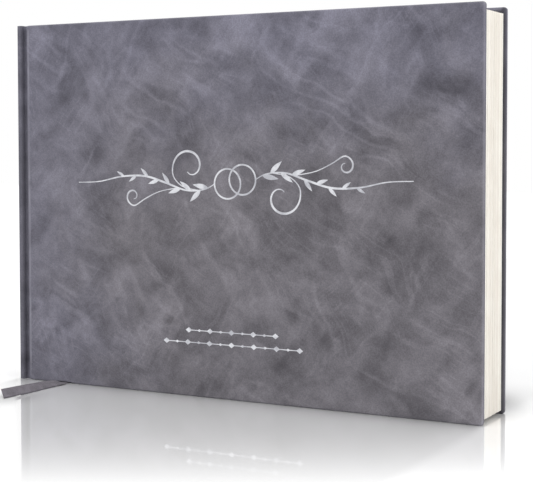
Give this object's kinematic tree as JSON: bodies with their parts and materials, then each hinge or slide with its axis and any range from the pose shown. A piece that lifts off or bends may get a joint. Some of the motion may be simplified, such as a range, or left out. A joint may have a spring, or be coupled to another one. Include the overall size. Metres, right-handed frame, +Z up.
{
  "type": "wedding guest book",
  "caption": "Landscape hardcover guest book, suede-like cloth case with foil flourish, sewn text block, headbands and a ribbon bookmark, standing on its tail edge.",
  "frame": {"origin": "middle of the closed book's footprint, on the surface that it stands on", "axes": "+X from the spine to the fore edge, +Y from the front cover to the back cover, +Z up to the head edge"},
  "size_m": [0.298, 0.093, 0.216],
  "materials": {
    "cover_cloth": "mottled grey suede-like cloth",
    "board": "grey binder's board",
    "endpaper": "smooth warm white endpaper",
    "page_paper": "uncoated warm white paper",
    "glued_folds": "folded paper set in adhesive",
    "lining_paper": "kraft paper",
    "mull": "open weave cotton",
    "tape": "woven cotton tape",
    "headband": "wound grey and white thread",
    "foil": "stamped silver foil",
    "ribbon": "grey satin ribbon"
  },
  "bodies": {
    "root": {"spine_cloth": "cover_cloth", "spine_board": "board", "spine_lining_paper": "lining_paper", "mull_lining": "mull", "sewing_tape_1": "tape", "sewing_tape_2": "tape", "sewing_tape_3": "tape", "sewing_tape_4": "tape", "glued_folds": "glued_folds", "headband_head": "headband", "headband_tail": "headband", "section_06": "page_paper", "section_07": "page_paper", "ribbon_bookmark": "ribbon"},
    "front_cover": {"front_cover_cloth": "cover_cloth", "front_board": "board", "front_pastedown": "endpaper", "foil_flourish": "foil", "foil_rule_upper": "foil", "foil_rule_lower": "foil"},
    "back_cover": {"back_cover_cloth": "cover_cloth", "back_board": "board", "back_pastedown": "endpaper"},
    "front_flyleaf": {"front_flyleaf": "endpaper"},
    "leaves_01": {"section_01": "page_paper"},
    "leaves_02": {"section_02": "page_paper"},
    "leaves_03": {"section_03": "page_paper"},
    "leaves_04": {"section_04": "page_paper"},
    "leaves_05": {"section_05": "page_paper"},
    "leaves_08": {"section_08": "page_paper"},
    "leaves_09": {"section_09": "page_paper"},
    "leaves_10": {"section_10": "page_paper"},
    "leaves_11": {"section_11": "page_paper"},
    "leaves_12": {"section_12": "page_paper"},
    "back_flyleaf": {"back_flyleaf": "endpaper"}
  },
  "joints": [
    {"name": "front_cover_hinge", "type": "hinge", "parent": "root", "child": "front_cover", "pos_m": [-0.146, -0.017, 0], "axis": [0, 0, -1], "range_deg": [0, 180], "deforming": ["ribbon_bookmark"]},
    {"name": "front_flyleaf_turn", "type": "hinge", "parent": "root", "child": "front_flyleaf", "pos_m": [-0.1404, -0.01422, 0], "axis": [0, 0, -1], "range_deg": [0, 90]},
    {"name": "leaves_01_turn", "type": "hinge", "parent": "root", "child": "leaves_01", "pos_m": [-0.1393, -0.01287, 0], "axis": [0, 0, -1], "range_deg": [0, 75.6]},
    {"name": "leaves_02_turn", "type": "hinge", "parent": "root", "child": "leaves_02", "pos_m": [-0.1382, -0.01061, 0], "axis": [0, 0, -1], "range_deg": [0, 61.2]},
    {"name": "leaves_03_turn", "type": "hinge", "parent": "root", "child": "leaves_03", "pos_m": [-0.1371, -0.00835, 0], "axis": [0, 0, -1], "range_deg": [0, 46.8]},
    {"name": "leaves_04_turn", "type": "hinge", "parent": "root", "child": "leaves_04", "pos_m": [-0.136, -0.0061, 0], "axis": [0, 0, -1], "range_deg": [0, 32.4]},
    {"name": "leaves_05_turn", "type": "hinge", "parent": "root", "child": "leaves_05", "pos_m": [-0.1349, -0.00384, 0], "axis": [0, 0, -1], "range_deg": [0, 18]},
    {"name": "back_cover_hinge", "type": "hinge", "parent": "root", "child": "back_cover", "pos_m": [-0.146, 0.017, 0], "axis": [0, 0, 1], "range_deg": [0, 180]},
    {"name": "back_flyleaf_turn", "type": "hinge", "parent": "root", "child": "back_flyleaf", "pos_m": [-0.1404, 0.01422, 0], "axis": [0, 0, 1], "range_deg": [0, 90]},
    {"name": "leaves_12_turn", "type": "hinge", "parent": "root", "child": "leaves_12", "pos_m": [-0.1393, 0.01287, 0], "axis": [0, 0, 1], "range_deg": [0, 75.6]},
    {"name": "leaves_11_turn", "type": "hinge", "parent": "root", "child": "leaves_11", "pos_m": [-0.1382, 0.01061, 0], "axis": [0, 0, 1], "range_deg": [0, 61.2]},
    {"name": "leaves_10_turn", "type": "hinge", "parent": "root", "child": "leaves_10", "pos_m": [-0.1371, 0.00835, 0], "axis": [0, 0, 1], "range_deg": [0, 46.8]},
    {"name": "leaves_09_turn", "type": "hinge", "parent": "root", "child": "leaves_09", "pos_m": [-0.136, 0.0061, 0], "axis": [0, 0, 1], "range_deg": [0, 32.4]},
    {"name": "leaves_08_turn", "type": "hinge", "parent": "root", "child": "leaves_08", "pos_m": [-0.1349, 0.00384, 0], "axis": [0, 0, 1], "range_deg": [0, 18]}
  ],
  "couplings": [
    {"joint": "front_flyleaf_turn", "follows": "front_cover_hinge", "ratio": 0.5},
    {"joint": "leaves_01_turn", "follows": "front_cover_hinge", "ratio": 0.42},
    {"joint": "leaves_02_turn", "follows": "front_cover_hinge", "ratio": 0.34},
    {"joint": "leaves_03_turn", "follows": "front_cover_hinge", "ratio": 0.26},
    {"joint": "leaves_04_turn", "follows": "front_cover_hinge", "ratio": 0.18},
    {"joint": "leaves_05_turn", "follows": "front_cover_hinge", "ratio": 0.1},
    {"joint": "back_flyleaf_turn", "follows": "back_cover_hinge", "ratio": 0.5},
    {"joint": "leaves_12_turn", "follows": "back_cover_hinge", "ratio": 0.42},
    {"joint": "leaves_11_turn", "follows": "back_cover_hinge", "ratio": 0.34},
    {"joint": "leaves_10_turn", "follows": "back_cover_hinge", "ratio": 0.26},
    {"joint": "leaves_09_turn", "follows": "back_cover_hinge", "ratio": 0.18},
    {"joint": "leaves_08_turn", "follows": "back_cover_hinge", "ratio": 0.1}
  ]
}
